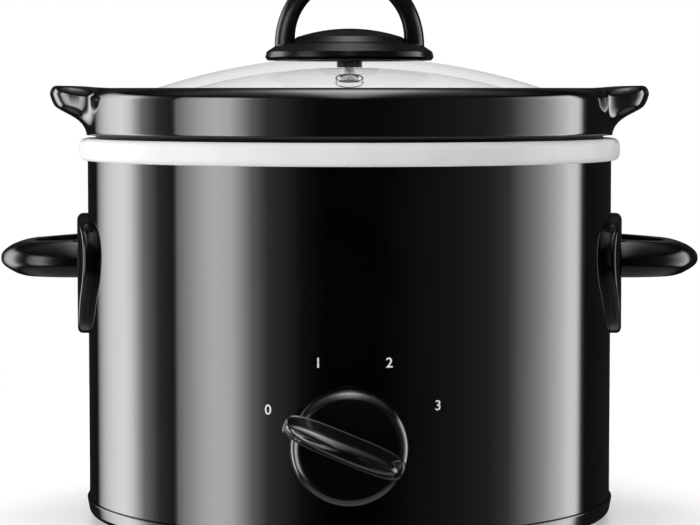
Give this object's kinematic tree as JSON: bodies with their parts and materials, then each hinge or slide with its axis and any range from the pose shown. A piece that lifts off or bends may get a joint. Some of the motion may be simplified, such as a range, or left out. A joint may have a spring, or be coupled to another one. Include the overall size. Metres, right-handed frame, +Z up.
{
  "type": "slow cooker",
  "caption": "Small round slow cooker: black heated base with side handles and a rotary knob, lift-out stoneware crock and domed glass lid with a loop handle.",
  "frame": {"origin": "on the cooker's vertical axis, in the plane of the feet's undersides", "axes": "+Z up, the front with the knob faces -Y, +X to the right of someone facing the front"},
  "size_m": [0.263, 0.2219, 0.2094],
  "materials": {
    "shell_enamel": "high gloss black enamel",
    "collar_plastic": "glossy white",
    "liner_metal": "bare drawn metal",
    "heater_metal": "matt",
    "plated_steel": "zinc plated",
    "base_plastic": "black",
    "foot_rubber": "matt black",
    "handle_plastic": "glossy black",
    "switch_plastic": "natural",
    "brass_contacts": "bright",
    "sleeve_plastic": "natural",
    "fuse_metal": "bright",
    "block_plastic": "natural",
    "gland_plastic": "black",
    "live_insulation": "brown sleeve",
    "heater_insulation": "white braid",
    "neutral_insulation": "blue sleeve",
    "earth_insulation": "green and yellow sleeve",
    "crock_glaze": "high gloss black glaze",
    "lid_glass": "clear, polished",
    "lid_silicone": "matt grey",
    "lid_plastic": "satin gloss black",
    "knob_plastic": "glossy black"
  },
  "bodies": {
    "base": {"outer_shell": "shell_enamel", "collar_ring": "collar_plastic", "heating_liner": "liner_metal", "heater_band": "heater_metal", "band_bolt": "plated_steel", "band_nut": "plated_steel", "liner_bracket": "plated_steel", "base_tray": "base_plastic", "base_screw": "plated_steel", "foot_front_left": "foot_rubber", "foot_front_right": "foot_rubber", "foot_rear_left": "foot_rubber", "foot_rear_right": "foot_rubber", "handle_left": "handle_plastic", "handle_right": "handle_plastic", "handle_screws": "plated_steel", "switch_housing": "switch_plastic", "switch_plate": "plated_steel", "switch_screws": "plated_steel", "switch_blades": "brass_contacts", "blade_sleeves": "sleeve_plastic", "thermal_fuse": "fuse_metal", "fuse_saddle": "plated_steel", "terminal_block": "block_plastic", "terminal_screws": "brass_contacts", "block_screws": "plated_steel", "cord_gland": "gland_plastic", "fuse_feed_wire": "live_insulation", "switch_feed_wire": "live_insulation", "high_heat_wire": "heater_insulation", "low_heat_wire": "heater_insulation", "neutral_wire": "neutral_insulation", "earth_wire": "earth_insulation"},
    "crock": {"stoneware_crock": "crock_glaze"},
    "lid": {"lid_glass": "lid_glass", "lid_gasket": "lid_silicone", "lid_handle": "lid_plastic", "lid_washer": "lid_silicone", "lid_screw": "plated_steel"},
    "knob": {"control_knob": "knob_plastic", "knob_clip": "plated_steel", "switch_rotor": "switch_plastic"}
  },
  "joints": [
    {"name": "crock_lift", "type": "slide", "parent": "base", "child": "crock", "axis": [0, 0, 1], "range_m": [0, 0.16]},
    {"name": "lid_lift", "type": "slide", "parent": "crock", "child": "lid", "axis": [0, 0, 1], "range_m": [0, 0.1]},
    {"name": "knob_turn", "type": "hinge", "parent": "base", "child": "knob", "pos_m": [0, -0.0963, 0.0407], "axis": [0, 1, 0], "range_deg": [0, 135]}
  ]
}
